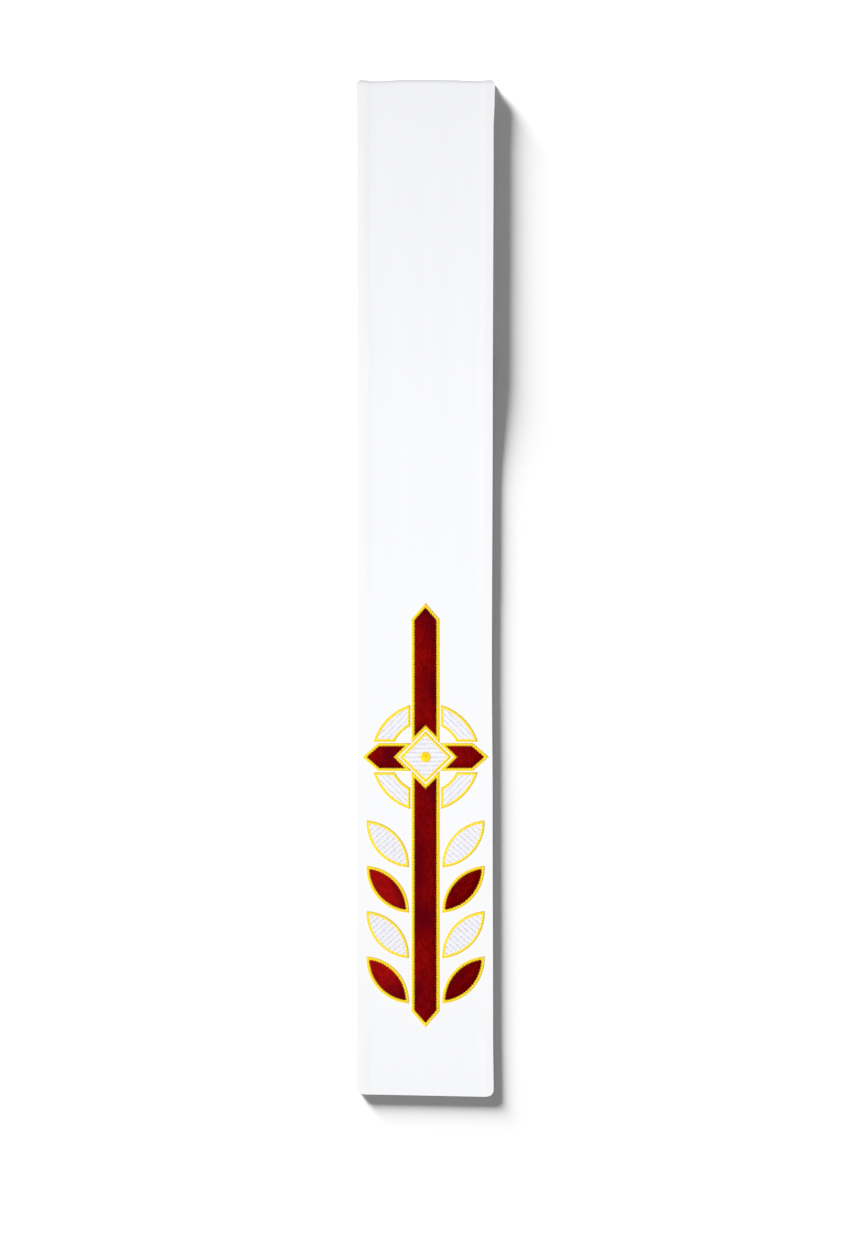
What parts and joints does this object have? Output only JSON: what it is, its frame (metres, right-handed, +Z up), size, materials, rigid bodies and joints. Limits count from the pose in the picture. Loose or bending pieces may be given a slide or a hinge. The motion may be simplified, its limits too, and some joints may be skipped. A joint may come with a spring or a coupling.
{
  "type": "clerical stole",
  "caption": "Long white clerical stole folded flat, its hemmed end showing, with a raised ringed cross and paired leaves in burgundy, white and gold.",
  "frame": {"origin": "centre of the underside, on the surface the folded stole lies on", "axes": "+X across the band, +Y along the band from the foot hem to the top fold, +Z up, out of the face that shows"},
  "size_m": [0.1409, 1.0318, 0.0093],
  "materials": {
    "white_cloth": "matt fine weave",
    "burgundy_thread": "soft sheen of close upright stitches",
    "white_thread": "ribbed, soft sheen",
    "gold_thread": "satin stitch, bright sheen"
  },
  "bodies": {
    "root": {"front_band": "white_cloth", "folded_layers": "white_cloth", "boss": "gold_thread", "cross_top": "burgundy_thread", "cross_top_border": "gold_thread", "cross_left": "burgundy_thread", "cross_left_border": "gold_thread", "cross_foot": "burgundy_thread", "cross_foot_border": "gold_thread", "cross_right": "burgundy_thread", "cross_right_border": "gold_thread", "lozenge": "white_thread", "lozenge_border": "gold_thread", "ring_top_right": "white_thread", "ring_top_right_border": "gold_thread", "ring_top_left": "white_thread", "ring_top_left_border": "gold_thread", "ring_foot_left": "white_thread", "ring_foot_left_border": "gold_thread", "ring_foot_right": "white_thread", "ring_foot_right_border": "gold_thread", "leaf_right_1": "white_thread", "leaf_right_1_border": "gold_thread", "leaf_left_1": "white_thread", "leaf_left_1_border": "gold_thread", "leaf_right_2": "burgundy_thread", "leaf_right_2_border": "gold_thread", "leaf_left_2": "burgundy_thread", "leaf_left_2_border": "gold_thread", "leaf_right_3": "white_thread", "leaf_right_3_border": "gold_thread", "leaf_left_3": "white_thread", "leaf_left_3_border": "gold_thread", "leaf_right_4": "burgundy_thread", "leaf_right_4_border": "gold_thread", "leaf_left_4": "burgundy_thread", "leaf_left_4_border": "gold_thread"}
  },
  "joints": []
}
